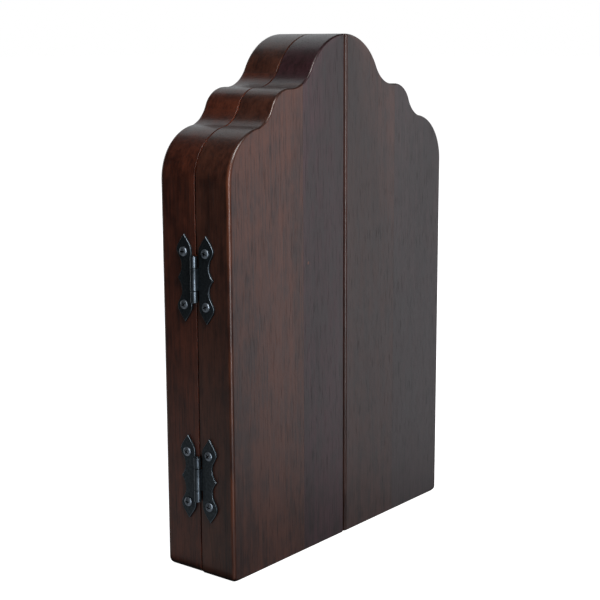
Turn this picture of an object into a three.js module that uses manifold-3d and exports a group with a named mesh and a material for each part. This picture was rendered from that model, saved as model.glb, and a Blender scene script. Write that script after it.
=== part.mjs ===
// A portable triptych altarpiece of dark stained wood, shown closed: a thick back panel with a lobed
// top, and two wings on iron strap hinges that fold over its front and meet at the middle.
// Millimetres, +Z up. The origin is at the middle of the underside, and the wings face -Y.
import * as THREE from "three";
import { mergeVertices } from "three/addons/utils/BufferGeometryUtils.js";
import Module from "manifold-3d";

const wasm = await Module();
wasm.setup();

// The boards
const HEIGHT = 250;
const HALF_WIDTH = 85.6;
const DEPTH = 42.5;
const WING_THICKNESS = 19.7;
const SEAM = 0.8; // between the back panel and the wings
const MEETING_GAP = 0.9; // between the two wings
const FRONT_ROUND = 2.0;
const REAR_ROUND = 3.0;
const SEAM_ROUND = 0.8;
const MEETING_ROUND = 1.2;
const PANEL_FOOT_ROUND = 3.2; // at the two lower corners, a little more than the edges have
const WING_FOOT_ROUND = 2.3;

const FRONT_Y = -DEPTH / 2;
const REAR_Y = DEPTH / 2;
const WING_REAR_Y = FRONT_Y + WING_THICKNESS;
const PANEL_FRONT_Y = WING_REAR_Y + SEAM;
const SEAM_Y = (WING_REAR_Y + PANEL_FRONT_Y) / 2;

// The lobed top, from the crown down to the shoulder. Each bend has a radius and turns the edge by
// some degrees: minus over a lobe, plus round a cove. A kink is a small corner just before the bend.
const TOP_BENDS = [
  { radius: 29.7, turn: -62.1, kink: 0 }, // half of the crown
  { radius: 16.6, turn: 67.1, kink: 0 }, // upper cove
  { radius: 13.2, turn: -69.6, kink: -3.0 }, // small lobe
  { radius: 15.1, turn: 49.2, kink: 0 }, // lower cove
];
const SHOULDER_KINK = 11.7;
const BEND_STEP = 10; // degrees
const FOOT_STEP = 22.5;
const ROUND_STEPS = 3;
const SMALL_ROUND_STEPS = 2; // for radii under a millimetre
const SPARE = 1; // how far a cutting solid runs past the wood

// The plain sunk field on each inside face repeats the outline, drawn smaller.
const FIELD_DEPTH = 1.5;
const FIELD_WIDTH_SHARE = 0.85;
const FIELD_HEIGHT_SHARE = 0.89;
const FIELD_CENTRE_Z = 112;
const FIELD_MEETING_MARGIN = 9;

// The hinges, laid on the side faces, two to a side
const HINGE_HEIGHTS = { upper: 140.9, lower: 46.7 };
const LEAF_THICKNESS = 1.0;
const LEAF_TO_WOOD = 0.1;
const LEAF_INNER = 2.3; // these are distances from the middle of the seam
const LEAF_LOBE = 11.0;
const LEAF_WAIST = 8.2;
const LEAF_POINT = 10.8;
const LEAF_TIP = 6.65;
const TIP_HEIGHT = 20.2; // and these are above the middle of the hinge
const LOBE_HEIGHT = 13.2;
const WAIST_HEIGHT = 5.6;
const LOBE_FULLNESS = 1.8;
const FLANK_HEIGHT = 17.6;
const TIP_SPREAD = 1.95;
const POINT_RUN = 1.2; // how far the edge leaves the point at 45 degrees before it turns up
const WAIST_EASE_BELOW = 3.2; // heights where the edge begins and stops following the waist
const WAIST_EASE_ABOVE = 9.4;
const LOBE_EASE_BELOW = 10.6;
const WEB_LAP = 0.2;
const KNUCKLE_RADIUS = 1.65;
const KNUCKLE_LENGTH = 21.3;
const MIDDLE_KNUCKLE = 10.3;
const KNUCKLE_GAP = 0.2;
const BORE_RADIUS = KNUCKLE_RADIUS - LEAF_THICKNESS; // the leaf itself is rolled round the pin
const PIN_RADIUS = 0.55;
const PIN_OVERHANG = 0.3;
const AXIS_OUT = LEAF_TO_WOOD + KNUCKLE_RADIUS; // from the side face to the hinge's axis

// The screws
const SCREW_OFFSET = 6.65;
const SCREW_HEIGHT = 12.2;
const HEAD_RADIUS = 2.2;
const HEAD_RISE = 1.15;
const HEAD_RIM = 0.3;
const HEAD_STEPS = 2;
const HEAD_TO_LEAF = 0.1;
const SHANK_RADIUS = 1.1;
const SHANK_LENGTH = 9;
const POINT_LENGTH = 2;
const SCREW_HOLE_RADIUS = 1.4;
const SLOT_WIDTH = 0.5;
const SLOT_LENGTH = 2.4;
const SLOT_DEPTH = 0.6;

const ROUND_SIDES = 12;
const SCREW_SIDES = 10;
const LEAF_CURVE_STEPS = 4;

const SIDES = { left: -1, right: 1 };

const STAINED_WOOD = { color: 0x4b3029, roughness: 0.42, metalness: 0 };
const BLACK_IRON = { color: 0x1d1e21, roughness: 0.45, metalness: 0.85 };

const radians = THREE.MathUtils.degToRad;

// A closed three.js geometry as a solid that can be cut and joined.
function solidFrom(geometry) {
  geometry.deleteAttribute("normal");
  geometry.deleteAttribute("uv");
  const merged = mergeVertices(geometry);
  const mesh = new wasm.Mesh({
    numProp: 3,
    vertProperties: merged.attributes.position.array,
    triVerts: new Uint32Array(merged.index.array),
  });
  return new wasm.Manifold(mesh);
}

// A named mesh of a solid, with a material of its own.
function meshFrom(name, solid, finish) {
  const { vertProperties, triVerts } = solid.getMesh();
  const geometry = new THREE.BufferGeometry();
  geometry.setAttribute("position", new THREE.BufferAttribute(vertProperties, 3));
  geometry.setIndex(new THREE.BufferAttribute(triVerts, 1));
  geometry.computeVertexNormals();
  const mesh = new THREE.Mesh(geometry, new THREE.MeshStandardMaterial(finish));
  mesh.name = name;
  return mesh;
}

function cylinder(radius, length, sides = ROUND_SIDES) {
  return new THREE.CylinderGeometry(radius, radius, length, sides);
}

// Adds the points of one bend after the last point, and returns the direction that it ends in.
function followBend(points, direction, { radius, turn, kink }, step = BEND_STEP) {
  const start = direction + radians(kink);
  const side = Math.sign(turn);
  const from = points.at(-1);
  const centre = new THREE.Vector2(
    from.x - side * radius * Math.sin(start),
    from.y + side * radius * Math.cos(start),
  );
  const steps = Math.ceil(Math.abs(turn) / step);
  for (let i = 1; i <= steps; i += 1) {
    const heading = start + (radians(turn) * i) / steps;
    const x = centre.x + side * radius * Math.sin(heading);
    const y = centre.y - side * radius * Math.cos(heading);
    points.push(new THREE.Vector2(x, y));
  }
  return start + radians(turn);
}

// The right half of the outline, from the top of the crown to the middle of the underside.
function halfOutline(footRound) {
  const points = [new THREE.Vector2(0, HEIGHT)];
  let direction = 0;
  for (const bend of TOP_BENDS) {
    direction = followBend(points, direction, bend);
  }
  // The shoulder's radius is the one that brings it down onto the side.
  const shoulderStart = direction + radians(SHOULDER_KINK);
  const radius = (HALF_WIDTH - points.at(-1).x) / (1 + Math.sin(shoulderStart));
  const turn = -90 - THREE.MathUtils.radToDeg(shoulderStart);
  direction = followBend(points, direction, { radius, turn, kink: SHOULDER_KINK });
  points.push(new THREE.Vector2(HALF_WIDTH, footRound));
  followBend(points, direction, { radius: footRound, turn: -90, kink: 0 }, FOOT_STEP);
  return points;
}

function outlineShape(footRound) {
  const right = halfOutline(footRound);
  const left = right.slice(1).reverse();
  const mirrored = left.map((point) => new THREE.Vector2(-point.x, point.y));
  return new THREE.Shape([...right, ...mirrored]);
}

// An upright slab of a shape, from one y to another, with both ends' edges rounded.
function uprightSlab(shape, fromY, toY, rounding) {
  const geometry = new THREE.ExtrudeGeometry(shape, {
    depth: toY - fromY - 2 * rounding,
    bevelEnabled: rounding > 0,
    bevelThickness: rounding,
    bevelSize: rounding,
    bevelOffset: -rounding,
    bevelSegments: rounding < 1 ? SMALL_ROUND_STEPS : ROUND_STEPS,
  });
  geometry.rotateX(Math.PI / 2);
  geometry.translate(0, toY - rounding, 0);
  return solidFrom(geometry);
}

// A board of the whole outline whose front and rear edges are rounded by different radii.
function board(fromY, toY, frontRound, rearRound, footRound) {
  const shape = outlineShape(footRound);
  const spare = 2 * REAR_ROUND;
  const front = uprightSlab(shape, fromY, toY + spare, frontRound);
  const rear = uprightSlab(shape, fromY - spare, toY, rearRound);
  return front.intersect(rear);
}

// The outline drawn smaller, as a solid that cuts a sunk field.
function fieldCutter(fromY, toY) {
  const cutter = uprightSlab(outlineShape(PANEL_FOOT_ROUND), fromY, toY, 0);
  return cutter
    .translate([0, 0, -FIELD_CENTRE_Z])
    .scale([FIELD_WIDTH_SHARE, 1, FIELD_HEIGHT_SHARE])
    .translate([0, 0, FIELD_CENTRE_Z]);
}

// The screw holes on one side face, in the wood in front of the seam or behind it.
function screwHoles(side, towards) {
  const holes = [];
  for (const middle of Object.values(HINGE_HEIGHTS)) {
    for (const lift of [SCREW_HEIGHT, -SCREW_HEIGHT]) {
      const drill = cylinder(SCREW_HOLE_RADIUS, 2 * SHANK_LENGTH, SCREW_SIDES);
      drill.rotateZ(Math.PI / 2);
      drill.translate(side * HALF_WIDTH, SEAM_Y + towards * SCREW_OFFSET, middle + lift);
      holes.push(solidFrom(drill));
    }
  }
  return wasm.Manifold.union(holes);
}

function backPanel() {
  const field = fieldCutter(PANEL_FRONT_Y - FIELD_DEPTH, PANEL_FRONT_Y + FIELD_DEPTH);
  let solid = board(PANEL_FRONT_Y, REAR_Y, SEAM_ROUND, REAR_ROUND, PANEL_FOOT_ROUND)
    .subtract(field);
  for (const side of Object.values(SIDES)) {
    solid = solid.subtract(screwHoles(side, 1));
  }
  return meshFrom("back_panel", solid, STAINED_WOOD);
}

// The room that a wing fills, seen from above: to one side of the meeting line, with eased corners.
function wingRoom(side) {
  const inner = MEETING_GAP / 2;
  const outer = HALF_WIDTH + SPARE;
  const front = FRONT_Y;
  const rear = WING_REAR_Y;
  const plan = new THREE.Shape();
  plan.moveTo(outer, front);
  plan.lineTo(outer, rear);
  plan.lineTo(inner + SEAM_ROUND, rear);
  plan.absarc(inner + SEAM_ROUND, rear - SEAM_ROUND, SEAM_ROUND, Math.PI / 2, Math.PI, false);
  plan.lineTo(inner, front + MEETING_ROUND);
  plan.absarc(inner + MEETING_ROUND, front + MEETING_ROUND, MEETING_ROUND, Math.PI, 1.5 * Math.PI, false);
  const options = { depth: HEIGHT + 2 * SPARE, bevelEnabled: false, curveSegments: ROUND_STEPS };
  const geometry = new THREE.ExtrudeGeometry(plan, options);
  geometry.translate(0, 0, -SPARE);
  const solid = solidFrom(geometry);
  return side > 0 ? solid : solid.mirror([1, 0, 0]);
}

function wing(name, side) {
  const margin = MEETING_GAP / 2 + FIELD_MEETING_MARGIN;
  const strip = new THREE.BoxGeometry(2 * margin, DEPTH * 2, HEIGHT * 2);
  const field = fieldCutter(WING_REAR_Y - FIELD_DEPTH, WING_REAR_Y + FIELD_DEPTH);
  const solid = board(FRONT_Y, WING_REAR_Y, FRONT_ROUND, SEAM_ROUND, WING_FOOT_ROUND)
    .intersect(wingRoom(side))
    .subtract(field.subtract(solidFrom(strip)))
    .subtract(screwHoles(side, -1));
  return meshFrom(name, solid, STAINED_WOOD);
}

// A hinge is drawn flat, as seen from outside: x runs along the wood away from the seam, y is up,
// and z stands out of the wood, from 0 at the side face.
function leafOutline() {
  const shoulder = LOBE_HEIGHT + LOBE_FULLNESS;
  const upper = new THREE.Path();
  upper.moveTo(LEAF_POINT, 0);
  const leaving = [LEAF_POINT - POINT_RUN, POINT_RUN];
  upper.bezierCurveTo(...leaving, LEAF_WAIST, WAIST_EASE_BELOW, LEAF_WAIST, WAIST_HEIGHT);
  upper.bezierCurveTo(LEAF_WAIST, WAIST_EASE_ABOVE, LEAF_LOBE, LOBE_EASE_BELOW, LEAF_LOBE, LOBE_HEIGHT);
  upper.bezierCurveTo(LEAF_LOBE, shoulder, LEAF_TIP + TIP_SPREAD, FLANK_HEIGHT, LEAF_TIP, TIP_HEIGHT);
  upper.bezierCurveTo(LEAF_TIP - TIP_SPREAD, FLANK_HEIGHT, LEAF_INNER, shoulder, LEAF_INNER, LOBE_HEIGHT);
  const points = upper.getPoints(LEAF_CURVE_STEPS);
  const lower = points.slice(1).reverse();
  const mirrored = lower.map((point) => new THREE.Vector2(point.x, -point.y));
  return new THREE.Shape([...points, ...mirrored]);
}

// A leaf with its screw holes, and a rolled knuckle over each span of the pin that it holds.
function leafSolid(spans) {
  const plate = new THREE.ExtrudeGeometry(leafOutline(), { depth: LEAF_THICKNESS, bevelEnabled: false });
  plate.translate(0, 0, LEAF_TO_WOOD);
  let solid = solidFrom(plate);
  for (const [from, to] of spans) {
    const middle = (from + to) / 2;
    const barrel = cylinder(KNUCKLE_RADIUS, to - from);
    barrel.translate(0, middle, AXIS_OUT);
    const web = new THREE.BoxGeometry(LEAF_INNER + WEB_LAP, to - from, LEAF_THICKNESS);
    web.translate((LEAF_INNER + WEB_LAP) / 2, middle, LEAF_TO_WOOD + LEAF_THICKNESS / 2);
    solid = solid.add(solidFrom(barrel)).add(solidFrom(web));
  }
  const bore = cylinder(BORE_RADIUS, 2 * KNUCKLE_LENGTH);
  bore.translate(0, 0, AXIS_OUT);
  solid = solid.subtract(solidFrom(bore));
  for (const lift of [SCREW_HEIGHT, -SCREW_HEIGHT]) {
    const drill = cylinder(SCREW_HOLE_RADIUS, 4 * LEAF_THICKNESS, SCREW_SIDES);
    drill.rotateX(Math.PI / 2);
    drill.translate(SCREW_OFFSET, lift, 0);
    solid = solid.subtract(solidFrom(drill));
  }
  return solid;
}

// A pointed screw along z with a domed, cross-slotted head, whose underside is at z = 0.
function screwSolid() {
  const profile = [
    new THREE.Vector2(0, -SHANK_LENGTH),
    new THREE.Vector2(SHANK_RADIUS, POINT_LENGTH - SHANK_LENGTH),
    new THREE.Vector2(SHANK_RADIUS, 0),
    new THREE.Vector2(HEAD_RADIUS, 0),
  ];
  for (let i = 0; i <= HEAD_STEPS; i += 1) {
    const angle = (Math.PI / 2) * (i / HEAD_STEPS);
    const x = i === HEAD_STEPS ? 0 : HEAD_RADIUS * Math.cos(angle);
    profile.push(new THREE.Vector2(x, HEAD_RIM + (HEAD_RISE - HEAD_RIM) * Math.sin(angle)));
  }
  const turned = new THREE.LatheGeometry(profile, SCREW_SIDES);
  turned.rotateX(Math.PI / 2);
  let solid = solidFrom(turned);
  for (const [x, y] of [[SLOT_LENGTH, SLOT_WIDTH], [SLOT_WIDTH, SLOT_LENGTH]]) {
    const slot = new THREE.BoxGeometry(x, y, 2 * SLOT_DEPTH);
    slot.translate(0, 0, HEAD_RISE);
    solid = solid.subtract(solidFrom(slot));
  }
  return solid;
}

function pin(name) {
  const solid = solidFrom(cylinder(PIN_RADIUS, KNUCKLE_LENGTH + 2 * PIN_OVERHANG));
  const mesh = meshFrom(name, solid, BLACK_IRON);
  mesh.position.z = AXIS_OUT;
  return mesh;
}

// One leaf and its two screws, turned half round when it lies on the other side of the seam.
function leafWithScrews(name, spans, turned) {
  const group = new THREE.Group();
  group.rotation.z = turned ? Math.PI : 0;
  group.add(meshFrom(`${name}_leaf`, leafSolid(spans), BLACK_IRON));
  const lifts = { top: turned ? -SCREW_HEIGHT : SCREW_HEIGHT, bottom: turned ? SCREW_HEIGHT : -SCREW_HEIGHT };
  for (const [place, lift] of Object.entries(lifts)) {
    const screw = meshFrom(`${name}_screw_${place}`, screwSolid(), BLACK_IRON);
    screw.position.set(SCREW_OFFSET, lift, LEAF_TO_WOOD + LEAF_THICKNESS + HEAD_TO_LEAF);
    group.add(screw);
  }
  return group;
}

// The panel's leaf holds the two ends of the pin, and the wing's leaf turns on its middle.
function hinge(name, side, middle) {
  const inner = MIDDLE_KNUCKLE / 2;
  const endSpan = [inner + KNUCKLE_GAP, KNUCKLE_LENGTH / 2];
  const otherEndSpan = [-endSpan[1], -endSpan[0]];
  const group = new THREE.Group();
  const along = new THREE.Vector3(0, side, 0);
  const up = new THREE.Vector3(0, 0, 1);
  const out = new THREE.Vector3(side, 0, 0);
  group.setRotationFromMatrix(new THREE.Matrix4().makeBasis(along, up, out));
  group.position.set(side * HALF_WIDTH, SEAM_Y, middle);
  group.add(leafWithScrews(`${name}_panel`, [endSpan, otherEndSpan], side < 0));
  group.add(leafWithScrews(`${name}_wing`, [[-inner, inner]], side > 0));
  group.add(pin(`${name}_pin`));
  return group;
}

const triptych = new THREE.Group();
triptych.add(backPanel());
for (const [sideName, side] of Object.entries(SIDES)) {
  triptych.add(wing(`${sideName}_wing`, side));
  for (const [level, middle] of Object.entries(HINGE_HEIGHTS)) {
    triptych.add(hinge(`${sideName}_${level}_hinge`, side, middle));
  }
}

export default triptych;
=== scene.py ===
"""A portable triptych altarpiece of stained wood with black iron strap hinges, closed."""

import math
from math import cos, pi, radians, sin

import bmesh
import bpy
from mathutils import Matrix, Vector


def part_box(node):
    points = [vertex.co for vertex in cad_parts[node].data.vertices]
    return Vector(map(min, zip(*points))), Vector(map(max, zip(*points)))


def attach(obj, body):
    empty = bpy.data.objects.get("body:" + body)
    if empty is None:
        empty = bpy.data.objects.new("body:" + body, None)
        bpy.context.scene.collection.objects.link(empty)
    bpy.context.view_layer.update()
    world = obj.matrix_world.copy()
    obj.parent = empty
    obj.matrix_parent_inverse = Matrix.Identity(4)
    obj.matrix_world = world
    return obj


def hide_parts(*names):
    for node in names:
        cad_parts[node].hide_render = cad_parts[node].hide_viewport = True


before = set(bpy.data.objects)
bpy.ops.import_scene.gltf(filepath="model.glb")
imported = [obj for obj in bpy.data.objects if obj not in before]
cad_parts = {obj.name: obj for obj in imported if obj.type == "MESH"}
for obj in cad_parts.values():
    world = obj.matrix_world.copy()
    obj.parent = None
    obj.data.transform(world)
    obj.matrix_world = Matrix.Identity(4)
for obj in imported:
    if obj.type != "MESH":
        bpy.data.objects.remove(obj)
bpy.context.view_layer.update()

bl_info = {
    "name": "Triptych altarpiece",
    "version": (1, 0, 0),
    "blender": (4, 5, 0),
    "location": "View3D > Sidebar > Triptych",
    "description": "Builds a closed wooden triptych with lobed boards and iron strap hinges",
    "category": "Add Mesh",
}

MM = 0.001
HAIR = 0.01 * MM  # closer than this is the same place
SLIVER = 0.002 * MM  # closer than this, two corners left by a cut are one
TOUCH = 0.001 * MM  # closer than this, a vertex lies on a plane
FACING = 0.9  # a normal's square along y above which a surface counts as part of a broad face
SIDES = {"left": -1, "right": 1}
LEVELS = ("upper", "lower")

PANEL_LOW, PANEL_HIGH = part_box("back_panel")
WING_LOW, WING_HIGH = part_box("right_wing")
HALF_WIDTH = PANEL_HIGH.x
HEIGHT = PANEL_HIGH.z
SEAM_Y = (PANEL_LOW.y + WING_HIGH.y) / 2


# Sizes and colours that a user would change

def length(name, description, millimetres):
    return bpy.props.FloatProperty(
        name=name, description=description, default=millimetres * MM, unit="LENGTH", precision=5
    )


def angle(name, description, turn):
    return bpy.props.FloatProperty(
        name=name, description=description, default=radians(turn), subtype="ANGLE"
    )


def share(name, description, value):
    return bpy.props.FloatProperty(
        name=name, description=description, default=value, min=0.0, max=1.0, subtype="FACTOR"
    )


def power(name, description, watts):
    return bpy.props.FloatProperty(
        name=name, description=description, default=watts, min=0.0, unit="POWER", precision=4
    )


def colour(name, description, red, green, blue):
    """The colour is given as it looks on a screen, and kept linear."""
    linear = [((c / 255 + 0.055) / 1.055) ** 2.4 if c > 10 else c / 255 / 12.92 for c in (red, green, blue)]
    return bpy.props.FloatVectorProperty(
        name=name, description=description, default=linear, size=3, min=0.0, max=1.0, subtype="COLOR"
    )


class TriptychBoards(bpy.types.PropertyGroup):
    """The lobed outline and the eased edges of the three boards."""

    crown_radius: length("Crown radius", "Radius of the lobe at the top", 29.7)
    crown_turn: angle("Crown turn", "Half of the crown's arc", 62.1)
    upper_cove_radius: length("Upper cove radius", "Radius of the hollow below the crown", 16.6)
    upper_cove_turn: angle("Upper cove turn", "Arc of the upper hollow", 67.1)
    lobe_radius: length("Lobe radius", "Radius of the small lobe", 13.2)
    lobe_turn: angle("Lobe turn", "Arc of the small lobe", 69.6)
    lobe_kink: angle("Lobe kink", "Corner between the upper hollow and the small lobe", -3.0)
    lower_cove_radius: length("Lower cove radius", "Radius of the hollow above the shoulder", 15.1)
    lower_cove_turn: angle("Lower cove turn", "Arc of the lower hollow", 49.2)
    shoulder_kink: angle("Shoulder kink", "Corner between the lower hollow and the shoulder", 11.7)
    meeting_gap: length("Meeting gap", "Gap between the two wings", 0.9)
    front_round: length("Front rounding", "Radius of the front edges down the straight sides", 2.0)
    lobed_round: length("Lobed rounding", "Radius of the front edges round the lobes and the foot", 1.0)
    round_run: length("Rounding run", "Width over which one rounding grows into the other", 12)
    rear_round: length("Rear rounding", "Radius of the back panel's rear edges", 3.0)
    seam_round: length("Seam rounding", "Radius of the edges beside the seams", 0.15)
    meeting_round: length("Meeting rounding", "Radius of the edges where the wings meet", 1.5)
    end_round: length("End rounding", "Radius of the wings' top and bottom corners at the middle", 0.5)
    panel_foot_round: length("Panel foot rounding", "Radius of the panel's lower corners", 3.2)
    wing_foot_round: length("Wing foot rounding", "Radius of the wings' lower corners", 2.3)
    field_depth: length("Field depth", "Depth of the sunk fields inside", 1.5)
    field_width: share("Field width", "Width of a sunk field, as a share of the outline's", 0.85)
    field_height: share("Field height", "Height of a sunk field, as a share of the outline's", 0.89)
    field_centre: length("Field centre", "Height that the sunk fields are drawn about", 112)
    field_margin: length("Field margin", "Wood left beside the meeting edge of a wing", 9)
    field_round: length("Field rounding", "Radius of the sunk fields' rims", 0.5)


class TriptychIronwork(bpy.types.PropertyGroup):
    """The four strap hinges and their screws."""

    upper_height: length("Upper hinge", "Height of the middle of the upper hinges", 140.9)
    lower_height: length("Lower hinge", "Height of the middle of the lower hinges", 46.7)
    leaf_thickness: length("Leaf thickness", "Thickness of a leaf", 1.0)
    leaf_clearance: length("Leaf clearance", "Gap between a leaf and the wood", 0.1)
    leaf_rim: length("Leaf rim", "Radius of a leaf's filed rim", 0.3)
    leaf_inner: length("Leaf inner edge", "From the seam to a leaf's straight edge", 2.3)
    leaf_lobe: length("Leaf lobe", "From the seam to the side of a leaf's lobes", 11.0)
    leaf_waist: length("Leaf waist", "From the seam to a leaf's waist", 8.2)
    leaf_point: length("Leaf point", "From the seam to a leaf's middle point", 10.8)
    leaf_tip: length("Leaf tip", "From the seam to a leaf's pointed ends", 6.65)
    tip_height: length("Tip height", "From the middle of a leaf to its pointed ends", 20.2)
    lobe_height: length("Lobe height", "From the middle of a leaf to its widest lobes", 13.2)
    waist_height: length("Waist height", "From the middle of a leaf to its waist", 5.6)
    knuckle_radius: length("Knuckle radius", "Outer radius of the rolled knuckles", 1.65)
    knuckle_length: length("Knuckle length", "Length of the whole row of knuckles", 21.3)
    middle_knuckle: length("Middle knuckle", "Length of the wing leaf's knuckle", 10.3)
    knuckle_gap: length("Knuckle gap", "Gap between two knuckles", 0.2)
    pin_radius: length("Pin radius", "Radius of a hinge's pin", 0.55)
    pin_overhang: length("Pin overhang", "How far a pin stands out at its ends", 0.3)
    screw_offset: length("Screw offset", "From the seam to the screws", 6.65)
    screw_height: length("Screw height", "From the middle of a leaf to its screws", 12.2)
    head_radius: length("Head radius", "Radius of a screw's head", 2.2)
    head_rise: length("Head rise", "Height of a screw's domed head", 1.15)
    head_rim: length("Head rim", "Height of the straight rim below the dome", 0.3)
    head_clearance: length("Head clearance", "Gap between a head and the leaf", 0.1)
    shank_radius: length("Shank radius", "Radius of a screw's shank", 1.1)
    shank_length: length("Shank length", "Length of a screw below its head", 9)
    hole_radius: length("Hole radius", "Radius of the screw holes", 1.4)
    slot_width: length("Slot width", "Width of the cross in a screw's head", 0.65)
    slot_length: length("Slot length", "Length of each arm pair of the cross", 2.5)
    slot_turn: angle("Slot turn", "Turn of each cross from the one before", 37)
    slot_depth: length("Slot depth", "Depth of the cross", 0.6)


class TriptychFinish(bpy.types.PropertyGroup):
    """The colours of the stained wood and the iron."""

    wood_warm: colour("Warm stave", "A stave that takes the stain warm", 101, 57, 41)
    wood_russet: colour("Russet stave", "A stave that takes the stain reddest", 116, 58, 38)
    wood_plum: colour("Plum stave", "A stave that takes the stain cool and dark", 76, 45, 52)
    wood_umber: colour("Umber stave", "A stave that takes the stain greyish", 90, 59, 51)
    wood_slate: colour("Slate stave", "A stave that takes the stain bluish", 72, 56, 57)
    wood_deep: colour("Deep grain", "What the darkest grain leaves of a stave's colour", 140, 126, 122)
    # The pore colour is also the painted shade on the floor of the screws' crosses
    wood_pore: colour("Pores", "Stain gathered in the pores", 20, 12, 10)
    # Rubbed stain along the edges, light and warm enough to be partly a painted edge highlight
    wood_worn: colour("Rubbed edges", "Stain rubbed thin along the edges", 156, 86, 52)
    wood_roughness: share("Wood roughness", "Roughness of the wood under its varnish", 0.28)
    iron_colour: colour("Iron", "Blackened iron", 72, 81, 87)
    iron_worn: colour("Rubbed iron", "Iron where its blacking is rubbed off", 156, 170, 184)
    iron_roughness: share("Iron roughness", "Roughness of the blackened iron", 0.37)
    screw_colour: colour("Screws", "The greyer iron of the screws", 156, 167, 179)
    screw_roughness: share("Screw roughness", "Roughness of the screws", 0.42)
    coat: share("Varnish", "Share of clear varnish over the wood", 0.25)
    coat_roughness: share("Varnish roughness", "Roughness of the clear varnish", 0.2)


class TriptychStage(bpy.types.PropertyGroup):
    """The camera and the soft studio light."""

    camera_azimuth: angle("Camera azimuth", "Turn of the camera about the upright", -51.5155)
    camera_elevation: angle("Camera elevation", "Height of the camera as an angle", 10.7375)
    camera_roll: angle("Camera roll", "Turn of the camera about its own axis", -0.2483)
    camera_distance: length("Camera distance", "From the aim point to the camera", 682.68)
    camera_aim: bpy.props.FloatVectorProperty(
        name="Camera aim", description="Point in the middle of the view",
        default=(-0.00445, 0.00362, 0.11847), size=3, subtype="TRANSLATION",
    )
    camera_lens: bpy.props.FloatProperty(
        name="Lens", description="Focal length for a 36 mm sensor", default=81.34, unit="CAMERA"
    )
    floor_colour: colour("Floor", "Pale floor and backdrop", 250, 250, 250)
    floor_glow: bpy.props.FloatProperty(
        name="Floor glow", description="How brightly the floor shows by itself", default=1.1
    )
    fill: share("Fill", "Strength of the even fill light", 0.035)
    wall_power: power("Wall light", "The wide soft light at the front right", 4.3)
    backdrop_power: power("Backdrop light", "The wide soft light above and behind", 5.1)
    side_power: power("Side light", "The wide soft light at the right", 2.2)
    rear_power: power("Rear light", "The soft light behind the back panel", 3.0)
    key_power: power("Key light", "The small soft light above the front", 1.0)
    strip_power: power("Strip light", "The narrow upright light that edges catch", 4.5)
    bounce_power: power("Bounce light", "What the table throws back at the left side", 0.07)


# Modelling

# How many sides round pieces have, then pins and the holes in the iron, then the holes in the wood
ROUND_SIDES = 48
BORE_SIDES = 32
PILOT_SIDES = 24


def deselect_all():
    if bpy.context.mode != "OBJECT":
        bpy.ops.object.mode_set(mode="OBJECT")
    bpy.ops.object.select_all(action="DESELECT")


def activate(piece):
    deselect_all()
    piece.select_set(True)
    bpy.context.view_layer.objects.active = piece


def settle(piece):
    """Takes the piece's place into its mesh."""
    activate(piece)
    bpy.ops.object.transform_apply(location=True, rotation=True, scale=True)


def edit(piece):
    """Edit mode, with vertices selectable whatever was selected last."""
    activate(piece)
    bpy.ops.object.mode_set(mode="EDIT")
    bpy.ops.mesh.select_mode(type="VERT")


def leave_edit():
    bpy.ops.object.mode_set(mode="OBJECT")


def select_where(piece, kind, wanted):
    """Selects the vertices, edges or faces of a piece in edit mode for which wanted says True."""
    bpy.ops.mesh.select_mode(type=kind)
    bpy.ops.mesh.select_all(action="DESELECT")
    cage = bmesh.from_edit_mesh(piece.data)
    elements = {"VERT": cage.verts, "EDGE": cage.edges, "FACE": cage.faces}[kind]
    for element in elements:
        if wanted(element):
            element.select_set(True)
    bmesh.update_edit_mesh(piece.data)


def all_at(element, axis, place):
    return all(abs(vertex.co[axis] - place) < TOUCH for vertex in element.verts)


def apply_modifier(piece, kind, **settings):
    activate(piece)
    modifier = piece.modifiers.new(kind.title(), kind)
    for name, value in settings.items():
        setattr(modifier, name, value)
    bpy.context.view_layer.update()
    bpy.ops.object.modifier_apply(modifier=modifier.name)
    if not piece.data.polygons and not piece.data.edges:
        raise RuntimeError(f"{kind} left nothing of {piece.name}")


def close_up(piece, distance=HAIR):
    """Merges doubled vertices and turns every face outwards."""
    edit(piece)
    bpy.ops.mesh.select_all(action="SELECT")
    bpy.ops.mesh.remove_doubles(threshold=distance)
    bpy.ops.mesh.normals_make_consistent(inside=False)
    leave_edit()


def cut(piece, cutter, operation="DIFFERENCE"):
    apply_modifier(piece, "BOOLEAN", object=cutter, operation=operation, solver="EXACT")
    bpy.data.objects.remove(cutter, do_unlink=True)


def joined(pieces):
    deselect_all()
    for piece in pieces:
        piece.select_set(True)
    bpy.context.view_layer.objects.active = pieces[0]
    bpy.ops.object.join()
    return bpy.context.object


def smooth(piece, limit=35):
    activate(piece)
    bpy.ops.object.shade_smooth_by_angle(angle=radians(limit))
    apply_modifier(piece, "WEIGHTED_NORMAL", keep_sharp=True, weight=80)


def named(piece, name):
    piece.name = name
    piece.data.name = name
    return piece


def finished(piece, name, body, slot, material, *nodes):
    named(piece, name)
    piece.data.materials.clear()
    piece.data.materials.append(material)
    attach(piece, body)
    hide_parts(*nodes)


def single_vertex(at):
    deselect_all()
    bpy.ops.mesh.primitive_plane_add(size=MM, location=at)
    piece = bpy.context.object
    settle(piece)
    edit(piece)
    bpy.ops.mesh.select_all(action="SELECT")
    bpy.ops.mesh.merge(type="CENTER")
    return piece


def cylinder_between(low, high, radius, sides=ROUND_SIDES):
    """An upright or level cylinder with its ends' middles at two points."""
    deselect_all()
    low, high = Vector(low), Vector(high)
    turn = (high - low).to_track_quat("Z", "Y").to_euler()
    bpy.ops.mesh.primitive_cylinder_add(
        vertices=sides, radius=radius, depth=(high - low).length, location=(low + high) / 2, rotation=turn
    )
    piece = bpy.context.object
    settle(piece)
    return piece


def box_between(low, high):
    deselect_all()
    low, high = Vector(low), Vector(high)
    bpy.ops.mesh.primitive_cube_add(size=1, location=(low + high) / 2, scale=high - low)
    piece = bpy.context.object
    settle(piece)
    return piece


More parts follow.
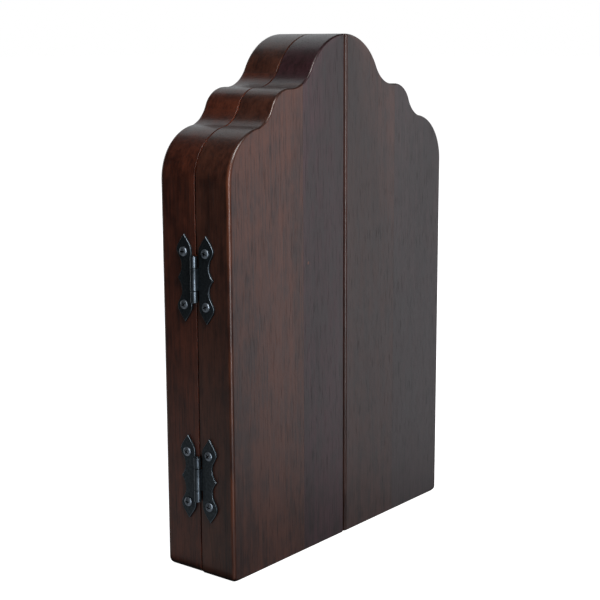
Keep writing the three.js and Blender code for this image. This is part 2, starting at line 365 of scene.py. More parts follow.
def outwardness(x, run):
    """1 on the straight sides, falling to 0 at a distance of run inside them."""
    return max(0.0, 1 - (HALF_WIDTH - abs(x)) / run)


def vertex_fields(piece, *names):
    """New values of 0 at every vertex under each name, fetched once all of them are there."""
    attributes = piece.data.attributes
    for name in names:
        attributes.new(name, "FLOAT", "POINT")
    return [attributes[name].data for name in names]


def mark_rounding(piece, face, radius):
    """Keeps how rounded and how worn the wood is at each vertex along the edges of an outer face at
    y = face, where the outer upright edges wear most and get a painted highlight, and the end grain shown on
    the narrow sides."""
    rounding, worn, end_grain = vertex_fields(piece, "rounding", "worn", "end_grain")
    for vertex in piece.data.vertices:
        across = vertex.normal.y ** 2
        if across > FACING:
            continue
        end = vertex.normal.z ** 2 / (1 - across)
        if HAIR < abs(vertex.co.y - face) < radius - HAIR:
            value = 4 * across * (1 - across)
            rounding[vertex.index].value = value
            # Edge wear, strongest halfway round each rounding: partly real rubbing, partly a painted
            # highlight
            worn[vertex.index].value = value * (1 - end) ** 4 * abs(vertex.co.x) / HALF_WIDTH
        if abs(vertex.co.x) < HALF_WIDTH - HAIR:
            end_grain[vertex.index].value = end


# The boards

BEND_STEP = radians(3)
FOOT_STEP = radians(15)
LARGEST_ROUND = 4 * MM  # the rounding that a full bevel weight stands for


class Outline:
    """Draws an outline in the XZ plane by spinning and extruding its last vertex in edit mode."""

    def __init__(self, at, y):
        self.piece = single_vertex((at[0], y, at[1]))
        self.at = Vector(at)
        self.y = y
        self.heading = 0.0

    def bend(self, radius, turn, kink=0.0, step=BEND_STEP):
        start = self.heading + kink
        way = 1 if turn > 0 else -1
        centre = self.at + way * radius * Vector((-sin(start), cos(start)))
        bpy.ops.mesh.spin(
            steps=math.ceil(abs(turn) / step), angle=abs(turn),
            center=(centre.x, self.y, centre.y), axis=(0, way, 0),
        )
        self.heading = start + turn
        self.at = centre - way * radius * Vector((-sin(self.heading), cos(self.heading)))

    def line_to(self, x, z):
        step = (x - self.at.x, 0, z - self.at.y)
        bpy.ops.mesh.extrude_vertices_move(TRANSFORM_OT_translate={"value": step})
        self.at = Vector((x, z))


def board_outline(sizes, foot_round, y, inner=0.0):
    """Half the lobed outline, from the crown round to the foot, begun at x = inner."""
    crown_start = math.asin(inner / sizes.crown_radius)
    top = HEIGHT - sizes.crown_radius * (1 - cos(crown_start))
    outline = Outline((inner, top), y)
    outline.heading = -crown_start
    outline.bend(sizes.crown_radius, crown_start - sizes.crown_turn)
    outline.bend(sizes.upper_cove_radius, sizes.upper_cove_turn)
    outline.bend(sizes.lobe_radius, -sizes.lobe_turn, sizes.lobe_kink)
    outline.bend(sizes.lower_cove_radius, sizes.lower_cove_turn)
    start = outline.heading + sizes.shoulder_kink
    shoulder_radius = (HALF_WIDTH - outline.at.x) / (1 + sin(start))
    outline.bend(shoulder_radius, -pi / 2 - start, sizes.shoulder_kink)
    outline.line_to(HALF_WIDTH, foot_round)
    outline.bend(foot_round, -pi / 2, step=FOOT_STEP)
    outline.line_to(inner, 0)
    return outline


def blank(sizes, foot_round, front, rear, inner=None, side=1):
    """A square-edged slab of the whole outline, or of the half of it from x = inner to one side."""
    outline = board_outline(sizes, foot_round, front, inner or 0.0)
    piece = outline.piece
    leave_edit()
    if inner is None:
        apply_modifier(piece, "MIRROR", merge_threshold=HAIR)
    edit(piece)
    bpy.ops.mesh.select_all(action="SELECT")
    bpy.ops.mesh.remove_doubles(threshold=HAIR)
    if side < 0:
        bpy.ops.transform.resize(value=(-1, 1, 1), center_override=(0, 0, 0))
    bpy.ops.mesh.edge_face_add()
    bpy.ops.mesh.extrude_region_move(TRANSFORM_OT_translate={"value": (0, rear - front, 0)})
    bpy.ops.mesh.select_all(action="SELECT")
    bpy.ops.mesh.normals_make_consistent(inside=False)
    leave_edit()
    return piece


def round_edges(piece, radii):
    """Rounds each edge by the radius that radii gives for it, all at once."""
    weights = piece.data.attributes.new("bevel_weight_edge", "FLOAT", "EDGE")
    vertices = piece.data.vertices
    for edge in piece.data.edges:
        ends = [vertices[i].co for i in edge.vertices]
        weights.data[edge.index].value = radii(*ends) / LARGEST_ROUND
    apply_modifier(
        piece, "BEVEL", limit_method="WEIGHT", width=LARGEST_ROUND, segments=6,
        offset_type="OFFSET", use_clamp_overlap=False, miter_outer="MITER_SHARP",
    )
    leftover = piece.data.attributes.get("bevel_weight_edge")
    if leftover:
        piece.data.attributes.remove(leftover)


def field_cutter(sizes, side, low, high):
    """The slab that cuts a sunk field: the outline drawn smaller, on both sides or on one."""
    piece = blank(sizes, sizes.panel_foot_round, low, high)
    edit(piece)
    bpy.ops.mesh.select_all(action="SELECT")
    bpy.ops.transform.resize(
        value=(sizes.field_width, 1, sizes.field_height), center_override=(0, low, sizes.field_centre)
    )
    if side:
        margin = sizes.meeting_gap / 2 + sizes.field_margin
        bpy.ops.mesh.bisect(
            plane_co=(side * margin, 0, 0), plane_no=(side, 0, 0), use_fill=True, clear_inner=True
        )
    leave_edit()
    return piece


def sink_field(piece, sizes, side, face, way):
    """Cuts the shallow field into a face at y = face; way is +1 where the wood lies behind it."""
    reach = sizes.field_depth
    cut(piece, field_cutter(sizes, side, face - reach, face + reach))
    rims = {round(y / MM, 2) for y in (face, face + way * reach)}
    edit(piece)
    select_where(piece, "FACE", lambda wall: {round(v.co.y / MM, 2) for v in wall.verts} == rims)
    bpy.ops.mesh.region_to_loop()
    bpy.ops.mesh.bevel(offset=sizes.field_round, segments=3, affect="EDGES")
    leave_edit()


def drill_pilot_holes(piece, ironwork, sides, towards):
    """Cuts the screws' holes into the side faces, in front of the seam or behind it."""
    drills = []
    for side in sides:
        for height in (ironwork.upper_height, ironwork.lower_height):
            for lift in (ironwork.screw_height, -ironwork.screw_height):
                y = SEAM_Y + towards * ironwork.screw_offset
                z = height + lift
                deep = side * (HALF_WIDTH - ironwork.shank_length)
                proud = side * (HALF_WIDTH + ironwork.hole_radius)
                ends = (deep, y, z), (proud, y, z)
                drills.append(cylinder_between(*ends, ironwork.hole_radius, PILOT_SIDES))
    cut(piece, joined(drills))


def build_back_panel(sizes, ironwork, material):
    front, rear = PANEL_LOW.y, PANEL_HIGH.y
    piece = blank(sizes, sizes.panel_foot_round, front, rear)

    def radii(a, b):
        if abs(a.y - b.y) > MM:
            return 0
        return sizes.seam_round if abs(a.y - front) < MM else sizes.rear_round

    round_edges(piece, radii)
    close_up(piece, SLIVER)
    sink_field(piece, sizes, 0, front, 1)
    drill_pilot_holes(piece, ironwork, SIDES.values(), 1)
    smooth(piece)
    mark_rounding(piece, rear, sizes.rear_round)
    finished(piece, "stained_back_panel", "panel", "stained_wood", material, "back_panel")


def build_wing(sizes, ironwork, side_name, material):
    side = SIDES[side_name]
    front, rear = WING_LOW.y, WING_HIGH.y
    inner = sizes.meeting_gap / 2
    piece = blank(sizes, sizes.wing_foot_round, front, rear, inner, side)

    def radii(a, b):
        meets = all(abs(abs(end.x) - inner) < HAIR for end in (a, b))
        if abs(a.y - b.y) > MM:
            return sizes.end_round if meets else 0
        if abs(a.y - front) < MM:
            outer = outwardness((abs(a.x) + abs(b.x)) / 2, sizes.round_run)
            grown = sizes.lobed_round + outer * (sizes.front_round - sizes.lobed_round)
            return sizes.meeting_round if meets else grown
        return sizes.seam_round

    round_edges(piece, radii)
    close_up(piece, SLIVER)
    sink_field(piece, sizes, side, rear, -1)
    drill_pilot_holes(piece, ironwork, [side], -1)
    smooth(piece)
    mark_rounding(piece, front, sizes.front_round)
    body = f"{side_name}_wing"
    finished(piece, f"stained_{side_name}_wing", body, "stained_wood", material, body)


# The hinges, drawn flat as seen from outside: x away from the seam, y up, z out of the wood

KNUCKLE_ROUND = 0.2 * MM
PIN_ROUND = 0.25 * MM
WEB_LAP = 0.5 * MM  # how far the web that carries a knuckle runs into its leaf
SCREW_POINT = 2 * MM
DOME_STEPS = 8


def hinge_place(side, turned, height):
    """Carries a piece drawn flat to its side of the triptych."""
    along, up, out = Vector((0, side, 0)), Vector((0, 0, 1)), Vector((side, 0, 0))
    place = Matrix((along, up, out)).transposed().to_4x4()
    place.translation = (side * HALF_WIDTH, SEAM_Y, height)
    return place @ Matrix.Rotation(pi if turned else 0, 4, "Z")


def placed_copy(template, place):
    copy = template.copy()
    copy.data = template.data.copy()
    bpy.context.scene.collection.objects.link(copy)
    copy.data.transform(place)
    return copy


def leaf_points(iron):
    """The upper half of a leaf's outline: each point with its two handles."""
    neck, waist_top, lobe_low = 3.2 * MM, 9.4 * MM, 10.6 * MM
    shoulder = iron.lobe_height + 1.8 * MM
    flank = 17.6 * MM
    spread = 1.95 * MM
    run = 1.2 * MM
    return [
        ((iron.leaf_point, 0), (iron.leaf_point - run, -run), (iron.leaf_point - run, run)),
        ((iron.leaf_waist, iron.waist_height), (iron.leaf_waist, neck), (iron.leaf_waist, waist_top)),
        ((iron.leaf_lobe, iron.lobe_height), (iron.leaf_lobe, lobe_low), (iron.leaf_lobe, shoulder)),
        ((iron.leaf_tip, iron.tip_height), (iron.leaf_tip + spread, flank), (iron.leaf_tip - spread, flank)),
        ((iron.leaf_inner, iron.lobe_height), (iron.leaf_inner, shoulder), (iron.leaf_inner, 0)),
    ]


def leaf_outline(iron):
    upper = leaf_points(iron)

    def flipped(point):
        return (point[0], -point[1])

    lower = [(flipped(at), flipped(after), flipped(before)) for at, before, after in reversed(upper[1:])]
    points = upper + lower
    deselect_all()
    bpy.ops.curve.primitive_bezier_curve_add(enter_editmode=False, location=(0, 0, 0))
    curve = bpy.context.object
    spline = curve.data.splines[0]
    spline.bezier_points.add(len(points) - len(spline.bezier_points))
    spline.resolution_u = 10
    spline.use_cyclic_u = True
    for knot, (at, before, after) in zip(spline.bezier_points, points):
        knot.handle_left_type = knot.handle_right_type = "FREE"
        knot.co = (*at, 0)
        knot.handle_left = (*before, 0)
        knot.handle_right = (*after, 0)
    activate(curve)
    bpy.ops.object.convert(target="MESH")
    return bpy.context.object


def leaf_template(iron, spans):
    """A leaf with its filed rim, its rolled knuckles and its screw holes."""
    leaf = leaf_outline(iron)
    top = iron.leaf_clearance + iron.leaf_thickness
    edit(leaf)
    bpy.ops.mesh.select_all(action="SELECT")
    bpy.ops.mesh.remove_doubles(threshold=HAIR)
    bpy.ops.transform.translate(value=(0, 0, iron.leaf_clearance))
    bpy.ops.mesh.edge_face_add()
    bpy.ops.mesh.extrude_region_move(TRANSFORM_OT_translate={"value": (0, 0, iron.leaf_thickness)})
    bpy.ops.mesh.select_all(action="SELECT")
    bpy.ops.mesh.normals_make_consistent(inside=False)
    select_where(leaf, "EDGE", lambda e: all_at(e, 2, top))
    bpy.ops.mesh.bevel(offset=iron.leaf_rim, segments=3, affect="EDGES")
    leave_edit()
    axis_out = iron.leaf_clearance + iron.knuckle_radius
    for low, high in spans:
        barrel = cylinder_between((0, low, axis_out), (0, high, axis_out), iron.knuckle_radius)
        edit(barrel)
        select_where(barrel, "EDGE", lambda e: all_at(e, 1, low) or all_at(e, 1, high))
        bpy.ops.mesh.bevel(offset=KNUCKLE_ROUND, segments=2, affect="EDGES")
        leave_edit()
        web = box_between((0, low, iron.leaf_clearance), (iron.leaf_inner + WEB_LAP, high, top))
        cut(leaf, web, "UNION")
        cut(leaf, barrel, "UNION")
    close_up(leaf, SLIVER)
    mark_iron(leaf)
    bore_radius = iron.knuckle_radius - iron.leaf_thickness
    reach = iron.knuckle_length
    drills = [cylinder_between((0, -reach, axis_out), (0, reach, axis_out), bore_radius, BORE_SIDES)]
    for lift in (iron.screw_height, -iron.screw_height):
        ends = (iron.screw_offset, lift, -iron.leaf_thickness), (iron.screw_offset, lift, 2 * top)
        drills.append(cylinder_between(*ends, iron.hole_radius, BORE_SIDES))
    for drill in drills:
        cut(leaf, drill)
    close_up(leaf, SLIVER)
    smooth(leaf, 40)
    return leaf


def mark_iron(piece, recess=None):
    """Keeps how exposed each vertex is to rubbing, the rims and the rounded barrels most, and the
    painted shade at the height of a recess, the floor of a screw's cross, which is painted dark."""
    exposed, grime = vertex_fields(piece, "exposed", "grime")
    for vertex in piece.data.vertices:
        level = vertex.normal.z ** 2
        exposed[vertex.index].value = 4 * level * (1 - level) if vertex.normal.z > 0 else 0
        if recess is not None and abs(vertex.co.z - recess) < HAIR:
            grime[vertex.index].value = 1


def pin_template(iron):
    axis_out = iron.leaf_clearance + iron.knuckle_radius
    end = iron.knuckle_length / 2 + iron.pin_overhang
    pin = cylinder_between((0, -end, axis_out), (0, end, axis_out), iron.pin_radius, BORE_SIDES)
    edit(pin)
    select_where(pin, "EDGE", lambda e: all_at(e, 1, end) or all_at(e, 1, -end))
    bpy.ops.mesh.bevel(offset=PIN_ROUND, segments=4, affect="EDGES")
    leave_edit()
    smooth(pin, 50)
    mark_iron(pin)
    return pin


def screw_template(iron):
    """A pointed screw along z with a domed head and a cross cut in it, its head's underside at z = 0."""
    dome = iron.head_rise - iron.head_rim
    screw = single_vertex((0, 0, -iron.shank_length))
    stops = [
        (iron.shank_radius, SCREW_POINT - iron.shank_length),
        (iron.shank_radius, 0),
        (iron.head_radius, 0),
        (iron.head_radius, iron.head_rim),
    ]
    for step in range(1, DOME_STEPS):
        rise = pi / 2 * step / DOME_STEPS
        stops.append((iron.head_radius * cos(rise), iron.head_rim + dome * sin(rise)))
    stops.append((0, iron.head_rise))
    at = Vector((0, -iron.shank_length))
    for stop in stops:
        step = Vector(stop) - at
        bpy.ops.mesh.extrude_vertices_move(TRANSFORM_OT_translate={"value": (step.x, 0, step.y)})
        at = Vector(stop)
    bpy.ops.mesh.select_all(action="SELECT")
    bpy.ops.mesh.spin(steps=ROUND_SIDES, angle=2 * pi, center=(0, 0, 0), axis=(0, 0, 1))
    leave_edit()
    close_up(screw)
    deep = iron.head_rise - iron.slot_depth
    arms = []
    for x, y in ((iron.slot_length, iron.slot_width), (iron.slot_width, iron.slot_length)):
        arms.append(box_between((-x / 2, -y / 2, deep), (x / 2, y / 2, 2 * iron.head_rise)))
    for arm in arms:
        cut(screw, arm)
    edit(screw)
    bpy.ops.mesh.select_all(action="SELECT")
    bpy.ops.mesh.remove_doubles(threshold=SLIVER)
    leave_edit()
    smooth(screw, 40)
    # The floor of the cross, at the height deep, is marked for painted shade
    mark_iron(screw, deep)
    return screw


# Materials

class Value:
    """A shader socket with arithmetic: each operator adds its own Math node."""

    def __init__(self, nodes, socket):
        self.nodes = nodes
        self.socket = socket

    def _math(self, operation, *values):
        return self.nodes.node("ShaderNodeMath", {"operation": operation}, dict(enumerate(values)))

    def __add__(self, other):
        return self._math("ADD", self, other)

    def __sub__(self, other):
        return self._math("SUBTRACT", self, other)

    def __mul__(self, other):
        return self._math("MULTIPLY", self, other)

    def __pow__(self, other):
        return self._math("POWER", self, other)

    def __rsub__(self, other):
        return self._math("SUBTRACT", other, self)

    def __rpow__(self, other):
        return self._math("POWER", other, self)

    __radd__ = __add__
    __rmul__ = __mul__

    def above(self, low, high):
        """0 below low, 1 above high and a smooth step between."""
        settings = {"interpolation_type": "SMOOTHSTEP"}
        values = {"Value": self, "From Min": low, "From Max": high}
        return self.nodes.node("ShaderNodeMapRange", settings, values)


class Nodes:
    """A node tree under construction."""

    def __init__(self, tree):
        self.tree = tree

    def feed(self, socket, value):
        if isinstance(value, Value):
            self.tree.links.new(value.socket, socket)
        else:
            socket.default_value = value

    def node(self, kind, settings=None, values=None, output=0):
        """Adds a node with its settings and the values or links of its sockets."""
        node = self.tree.nodes.new(kind)
        for name, value in (settings or {}).items():
            setattr(node, name, value)
        for key, value in (values or {}).items():
            self.feed(node.inputs[key], value)
        return Value(self, node.outputs[output])


class Finish(Nodes):
    """A material with its own node tree, which ends in one shader."""

    def __init__(self, name):
        self.material = bpy.data.materials.new(name)
        self.material.use_nodes = True
        super().__init__(self.material.node_tree)
        self.shader = self.tree.nodes["Principled BSDF"]

    def place(self):
        return self.node("ShaderNodeTexCoord", output="Object")

    def split(self, vector):
        tree_node = self.node("ShaderNodeSeparateXYZ", None, {"Vector": vector}).socket.node
        return [Value(self, socket) for socket in tree_node.outputs]

    def joined_vector(self, x, y, z):
        return self.node("ShaderNodeCombineXYZ", None, {"X": x, "Y": y, "Z": z})

    def noise(self, scale, shift=(0, 0, 0), extra=(0, 0, 0), detail=2.0, roughness=0.5, distortion=0.0):
        """Noise from 0 to 1, with scale as the count of waves in a metre along each axis."""
        at = self.node("ShaderNodeVectorMath", {"operation": "ADD"}, {0: self.place(), 1: extra})
        at = self.node("ShaderNodeMapping", None, {"Vector": at, "Scale": scale, "Location": shift})
        values = {
            "Vector": at, "Scale": 1.0, "Detail": detail, "Roughness": roughness, "Distortion": distortion,
        }
        return self.node("ShaderNodeTexNoise", {"normalize": True}, values)

    def attribute(self, name):
        return self.node("ShaderNodeAttribute", {"attribute_name": name}, output="Fac")

    def mix(self, factor, first, second, blend="MIX"):
        """Mixes two colours, each a link or three numbers."""
        first, second = [c if isinstance(c, Value) else (*c[:3], 1) for c in (first, second)]
        settings = {"data_type": "RGBA", "blend_type": blend}
        return self.node("ShaderNodeMix", settings, {0: factor, 6: first, 7: second}, output=2)

    def spread(self, masks, colours):
        """The first colour, and past each mask the next one."""
        colour = (*colours[0],)
        for mask, following in zip(masks, colours[1:]):
            colour = self.mix(mask, colour, following)
        return colour

    def bump(self, height, distance, strength):
        values = {"Height": height, "Distance": distance, "Strength": strength}
        return self.node("ShaderNodeBump", None, values)

    def set(self, **sockets):
        for name, value in sockets.items():
            self.feed(self.shader.inputs[name.replace("_", " ").title()], value)


# How many waves of each kind of grain there are in a metre along x, y and z
FIBRE = (950, 950, 50)
STREAK = (240, 240, 11)
BROAD = (38, 38, 6)
MOTTLE = (130, 130, 75)
PORE = (1700, 1700, 90)
RUBBING_AND_HIGHLIGHT = (160, 160, 40)
GLUE_LINE = 0.3 * MM
# How far the grain moves on from one board to the next and from stave to stave, so that none repeats
BOARD_SHIFT = (3.1, 1.7, 2.3)
STAVE_SHIFT = (0.31, 0.17, 0.53)


def pin_knot(wood, finish, colour, x, z, mottle):
    """Lays a small knot over the colour, dark round a light eye; x and z are measured from it."""
    far = (x * x * 2 + z * z) ** 0.5 + mottle * 0.4 * MM
    colour = wood.mix((1 - far.above(1.2 * MM, 2.6 * MM)) * 0.4, colour, finish.wood_pore)
    # The knot's light eye borrows the lighter edge colour
    return wood.mix((1 - far.above(0.7 * MM, 1.3 * MM)) * 0.5, colour, finish.wood_worn)


def stained_wood(name, finish, seed, joints, stains, knots):
    """Satin varnish over a dark stain that each stave takes in its own way."""
    wood = Finish(name)
    x, _y, z = wood.split(wood.place())
    past = [x.above(joint - GLUE_LINE / 2, joint + GLUE_LINE / 2) for joint in joints]
    stave = sum(past, 0.0)
    apart = wood.joined_vector(*[stave * step for step in STAVE_SHIFT])
    shift = tuple(seed * step for step in BOARD_SHIFT)

    def grain(scale, **settings):
        return wood.noise(scale, shift, extra=apart, **settings)

    fibre = grain(FIBRE, detail=3, roughness=0.6)
    streak = grain(STREAK, detail=3, roughness=0.6, distortion=0.4)
    broad = grain(BROAD)
    mottle = grain(MOTTLE, detail=3, roughness=0.65)
    pore = grain(PORE, detail=1).above(0.58, 0.7)
    tone = fibre * 0.28 + streak * 0.2 + broad * 0.22 + mottle * 0.3
    stain = wood.spread(past, [getattr(finish, stain) for stain in stains])
    deep = wood.mix(1.0, stain, finish.wood_deep, "MULTIPLY")
    colour = wood.mix(tone.above(0.37, 0.63), deep, stain)
    colour = wood.mix(pore * 0.35, colour, finish.wood_pore)
    for knot_x, knot_z in knots:
        colour = pin_knot(wood, finish, colour, x - knot_x, z - knot_z, mottle)
    colour = wood.mix(wood.attribute("end_grain") * 0.8, colour, finish.wood_pore)
    # Rubbed stain and painted highlight: lighter orange in patches along the outer upright edges
    rubbed = wood.attribute("worn") * grain(RUBBING_AND_HIGHLIGHT).above(0.3, 0.62)
    colour = wood.mix(rubbed * 0.62, colour, finish.wood_worn)
    polish = wood.attribute("rounding") * 0.1
    roughness = finish.wood_roughness + fibre * 0.18 + mottle * 0.12 + pore * 0.16 - polish
    relief = wood.bump(fibre * 0.7 + streak * 0.3 - pore * 0.3, 0.06 * MM, 0.9)
    wood.set(Base_Color=colour, Roughness=roughness, Normal=relief)
    wood.set(Coat_Weight=finish.coat, Coat_Roughness=finish.coat_roughness)
    return wood.material


def iron_finish(name, finish):
    """Iron rubbed brighter on rims and barrels: blackened on the hinges, greyer on the screws."""
    iron = Finish(name)
    base, roughness = {
        "blackened_iron": (finish.iron_colour, finish.iron_roughness),
        "grey_screw_iron": (finish.screw_colour, finish.screw_roughness),
    }[name]
    grit = iron.noise((900, 900, 900), detail=3)
    cloud = iron.noise((160, 160, 160), detail=2)
    rubbed = iron.attribute("exposed").above(0.2, 0.8) * cloud.above(0.2, 0.55)
    colour = iron.mix(grit.above(0.3, 0.7), base, [c * 0.6 for c in base])
    colour = iron.mix(rubbed * 0.5, colour, finish.iron_worn)
    # Painted shade: the floor of each screw's cross is painted in the dark pore colour
    colour = iron.mix(iron.attribute("grime").above(0.2, 0.8), colour, finish.wood_pore)
    roughness = roughness + grit * 0.16 - rubbed * 0.06
    iron.set(Base_Color=colour, Metallic=0.9, Roughness=roughness, Normal=iron.bump(grit, 0.02 * MM, 0.4))
    return iron.material


def plain_floor(stage):
    floor = Finish("pale_floor")
    glow = (*stage.floor_colour, 1)
    floor.set(Base_Color=glow, Roughness=0.9, Emission_Color=glow, Emission_Strength=stage.floor_glow)
    return floor.material


def studio_world(stage):
    """A plain white surround for the camera, and a dim even fill for the lighting."""
    world = bpy.data.worlds.new("studio")
    world.use_nodes = True
    nodes = Nodes(world.node_tree)
    background = world.node_tree.nodes["Background"]
    seen = nodes.node("ShaderNodeLightPath", output="Is Camera Ray")
    strength = nodes.node("ShaderNodeMapRange", None, {"Value": seen, "To Min": stage.fill, "To Max": 1.0})
    nodes.feed(background.inputs["Color"], (1, 1, 1, 1))
    nodes.feed(background.inputs["Strength"], strength)
    bpy.context.scene.world = world


# The stage

SENSOR_WIDTH = 36  # millimetres
NEAREST = 0.01  # the camera sees nothing closer, in metres


def aim(thing, target, roll=0.0):
    """Turns a camera or a light to look at a point."""
    look = (Vector(target) - thing.location).normalized()
    turn = look.to_track_quat("-Z", "Y").to_matrix().to_4x4()
    thing.matrix_world = Matrix.Translation(thing.location) @ turn @ Matrix.Rotation(roll, 4, "Z")


def softbox(name, at, target, width, height, power, tint=(1, 1, 1)):
    deselect_all()
    bpy.ops.object.light_add(type="AREA", location=at)
    lamp = bpy.context.object
    lamp.name = name
    lamp.data.name = name
    lamp.data.shape = "RECTANGLE"
    lamp.data.size = width
    lamp.data.size_y = height
    lamp.data.energy = power
    lamp.data.color = tint
    lamp.visible_camera = False
    aim(lamp, target)
    return lamp


def build_camera(stage):
    turn, rise = stage.camera_azimuth, stage.camera_elevation
    back = Vector((sin(turn) * cos(rise), -cos(turn) * cos(rise), sin(rise)))
    target = Vector(stage.camera_aim)
    deselect_all()
    bpy.ops.object.camera_add(location=target + back * stage.camera_distance)
    camera = bpy.context.object
    camera.name = "camera"
    camera.data.lens = stage.camera_lens
    camera.data.sensor_width = SENSOR_WIDTH
    camera.data.clip_start = NEAREST
    aim(camera, target, stage.camera_roll)
    bpy.context.scene.camera = camera


FLOOR_SIZE = 40
MIDDLE = (0, 0, HEIGHT / 2)
# Where each softbox stands, its width and height, and its tint; they all face the object's middle
SOFTBOXES = {
    "wall": ((1.15, -0.95, 0.17), 0.9, 1.3, (0.95, 0.95, 1.0)),
    "backdrop": ((0.97, 1.1, 1.2), 1.3, 1.5, (0.93, 0.97, 1.0)),
    "key": ((-0.17, -0.25, 0.42), 0.16, 0.16, (1.0, 0.98, 0.96)),
    "side": ((1.4, 0.05, 0.55), 1.0, 1.0, (1.0, 1.0, 1.0)),
    "rear": ((0.3, 1.35, 0.1), 0.9, 0.9, (1.0, 1.0, 1.0)),
    "strip": ((-0.6, -0.98, 0.12), 0.26, 0.7, (0.93, 0.96, 1.0)),
}
GLINT_ONLY = ("strip",)  # these show in the gloss and light nothing evenly
BOUNCE_PLACE = (-0.24, 0.125, 0.002)
BOUNCE_SIZE = 0.3


def build_stage(stage):
    deselect_all()
    bpy.ops.mesh.primitive_plane_add(size=FLOOR_SIZE, location=(0, 0, 0))
    floor = named(bpy.context.object, "floor")
    floor.data.materials.append(plain_floor(stage))
    floor.visible_glossy = False
    floor.visible_diffuse = False
    floor.visible_shadow = False
    studio_world(stage)
    for name, (at, width, height, tint) in SOFTBOXES.items():
        lamp = softbox(f"{name}_light", at, MIDDLE, width, height, getattr(stage, f"{name}_power"), tint)
        lamp.visible_diffuse = name not in GLINT_ONLY
    above = (*BOUNCE_PLACE[:2], HEIGHT)
    softbox("bounce_light", BOUNCE_PLACE, above, BOUNCE_SIZE, BOUNCE_SIZE, stage.bounce_power)
    bpy.context.scene.view_settings.view_transform = "Standard"
    build_camera(stage)


# The operators

# The x of the glue lines of each board from -x to +x, the stains of its staves, one more than there
# are glue lines, and the x and z of its pin knots
STAVES = {
    "panel": ((-28 * MM, 31 * MM), ("wood_russet", "wood_warm", "wood_umber"), ()),
    "left_wing": ((-33 * MM,), ("wood_warm", "wood_plum"), ((-29.3 * MM, 143 * MM),)),
    "right_wing": ((42 * MM,), ("wood_umber", "wood_slate"), ()),
}


def wood_of(scene, board):
    """The board's own stained wood, made when it is first asked for."""
    name = f"stained_wood_{board}"
    seed = 1 + list(STAVES).index(board)
    known = bpy.data.materials.get(name)
    return known or stained_wood(name, scene.triptych_finish, seed, *STAVES[board])


def iron_of(scene, name):
    return bpy.data.materials.get(name) or iron_finish(name, scene.triptych_finish)


def each_hinge(iron):
    for side_name, side in SIDES.items():
        for level in LEVELS:
            yield side_name, side, f"{side_name}_{level}_hinge", getattr(iron, f"{level}_height")


def each_leaf(side_name, side):
    """The name, the body and the turn in its side's plane of the two leaves of a hinge."""
    yield "panel", "panel", side < 0
    yield "wing", f"{side_name}_wing", side > 0


class TRIPTYCH_OT_back_panel(bpy.types.Operator):
    """Builds the thick back panel with its lobed top and sunk inner field"""

    bl_idname = "triptych.back_panel"
    bl_label = "Back panel"

    def execute(self, context):
        scene = context.scene
        build_back_panel(scene.triptych_boards, scene.triptych_ironwork, wood_of(scene, "panel"))
        return {"FINISHED"}


class TRIPTYCH_OT_wings(bpy.types.Operator):
    """Builds the two folding wings"""

    bl_idname = "triptych.wings"
    bl_label = "Wings"

    def execute(self, context):
        scene = context.scene
        for side_name in SIDES:
            material = wood_of(scene, f"{side_name}_wing")
            build_wing(scene.triptych_boards, scene.triptych_ironwork, side_name, material)
        return {"FINISHED"}


class TRIPTYCH_OT_hinge_leaves(bpy.types.Operator):
    """Builds the shaped leaves of the four strap hinges"""

    bl_idname = "triptych.hinge_leaves"
    bl_label = "Hinge leaves"

    def execute(self, context):
        iron = context.scene.triptych_ironwork
        material = iron_of(context.scene, "blackened_iron")
        middle = iron.middle_knuckle / 2
        low, high = middle + iron.knuckle_gap, iron.knuckle_length / 2
        templates = {
            "panel": leaf_template(iron, [(low, high), (-high, -low)]),
            "wing": leaf_template(iron, [(-middle, middle)]),
        }
        for side_name, side, hinge, height in each_hinge(iron):
            for part, body, turned in each_leaf(side_name, side):
                leaf = placed_copy(templates[part], hinge_place(side, turned, height))
                name = f"{hinge}_{part}_leaf"
                finished(leaf, f"{name}_fine", body, "black_iron", material, name)
        for template in templates.values():
            bpy.data.objects.remove(template, do_unlink=True)
        return {"FINISHED"}


class TRIPTYCH_OT_hinge_pins(bpy.types.Operator):
    """Builds the round pins that the hinges turn on"""

    bl_idname = "triptych.hinge_pins"
    bl_label = "Hinge pins"

    def execute(self, context):
        iron = context.scene.triptych_ironwork
        material = iron_of(context.scene, "blackened_iron")
        template = pin_template(iron)
        for _side_name, side, hinge, height in each_hinge(iron):
            pin = placed_copy(template, hinge_place(side, False, height))
            finished(pin, f"{hinge}_pin_fine", "panel", "black_iron", material, f"{hinge}_pin")
        bpy.data.objects.remove(template, do_unlink=True)
        return {"FINISHED"}


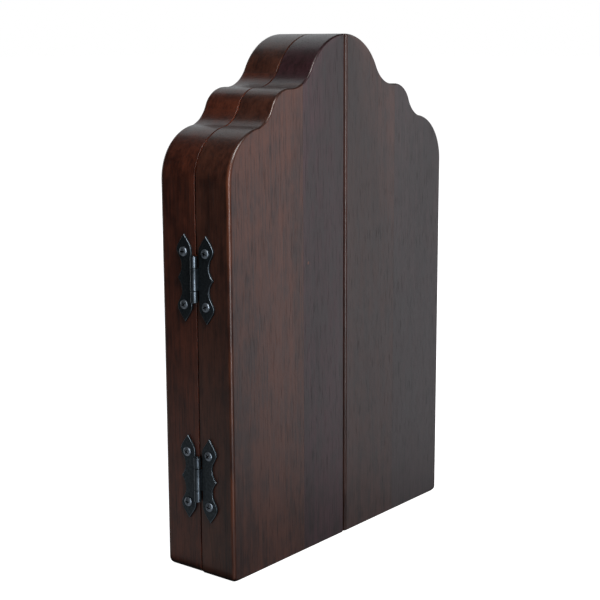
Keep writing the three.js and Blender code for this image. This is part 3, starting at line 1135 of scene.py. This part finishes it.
class TRIPTYCH_OT_hinge_screws(bpy.types.Operator):
    """Builds the domed screws that hold the hinges"""

    bl_idname = "triptych.hinge_screws"
    bl_label = "Hinge screws"

    def execute(self, context):
        iron = context.scene.triptych_ironwork
        material = iron_of(context.scene, "grey_screw_iron")
        template = screw_template(iron)
        under_head = iron.leaf_clearance + iron.leaf_thickness + iron.head_clearance
        slot_turn = 0.0
        for side_name, side, hinge, height in each_hinge(iron):
            for part, body, turned in each_leaf(side_name, side):
                for end, up in (("top", 1), ("bottom", -1)):
                    lift = -up * iron.screw_height if turned else up * iron.screw_height
                    seat = Matrix.Translation((iron.screw_offset, lift, under_head))
                    seat = hinge_place(side, turned, height) @ seat @ Matrix.Rotation(slot_turn, 4, "Z")
                    slot_turn += iron.slot_turn
                    name = f"{hinge}_{part}_screw_{end}"
                    screw = placed_copy(template, seat)
                    finished(screw, f"{name}_fine", body, "black_iron", material, name)
        bpy.data.objects.remove(template, do_unlink=True)
        return {"FINISHED"}


class TRIPTYCH_OT_stage(bpy.types.Operator):
    """Builds the pale floor, the soft lights and the camera"""

    bl_idname = "triptych.stage"
    bl_label = "Stage"

    def execute(self, context):
        build_stage(context.scene.triptych_stage)
        return {"FINISHED"}


class TRIPTYCH_PT_panel(bpy.types.Panel):
    """Lists the pieces of the triptych"""

    bl_label = "Triptych altarpiece"
    bl_idname = "TRIPTYCH_PT_panel"
    bl_space_type = "VIEW_3D"
    bl_region_type = "UI"
    bl_category = "Triptych"

    def draw(self, context):
        for operator in OPERATORS:
            self.layout.operator(operator.bl_idname)


OPERATORS = (
    TRIPTYCH_OT_back_panel,
    TRIPTYCH_OT_wings,
    TRIPTYCH_OT_hinge_leaves,
    TRIPTYCH_OT_hinge_pins,
    TRIPTYCH_OT_hinge_screws,
    TRIPTYCH_OT_stage,
)
GROUPS = {
    "triptych_boards": TriptychBoards,
    "triptych_ironwork": TriptychIronwork,
    "triptych_finish": TriptychFinish,
    "triptych_stage": TriptychStage,
}


def register():
    for group_name, group in GROUPS.items():
        bpy.utils.register_class(group)
        setattr(bpy.types.Scene, group_name, bpy.props.PointerProperty(type=group))
    for operator in OPERATORS:
        bpy.utils.register_class(operator)
    bpy.utils.register_class(TRIPTYCH_PT_panel)


def unregister():
    bpy.utils.unregister_class(TRIPTYCH_PT_panel)
    for operator in reversed(OPERATORS):
        bpy.utils.unregister_class(operator)
    for group_name, group in GROUPS.items():
        delattr(bpy.types.Scene, group_name)
        bpy.utils.unregister_class(group)


def main():
    register()
    bpy.ops.triptych.back_panel()
    bpy.ops.triptych.wings()
    bpy.ops.triptych.hinge_leaves()
    bpy.ops.triptych.hinge_pins()
    bpy.ops.triptych.hinge_screws()
    bpy.ops.triptych.stage()


if __name__ == "__main__":
    main()
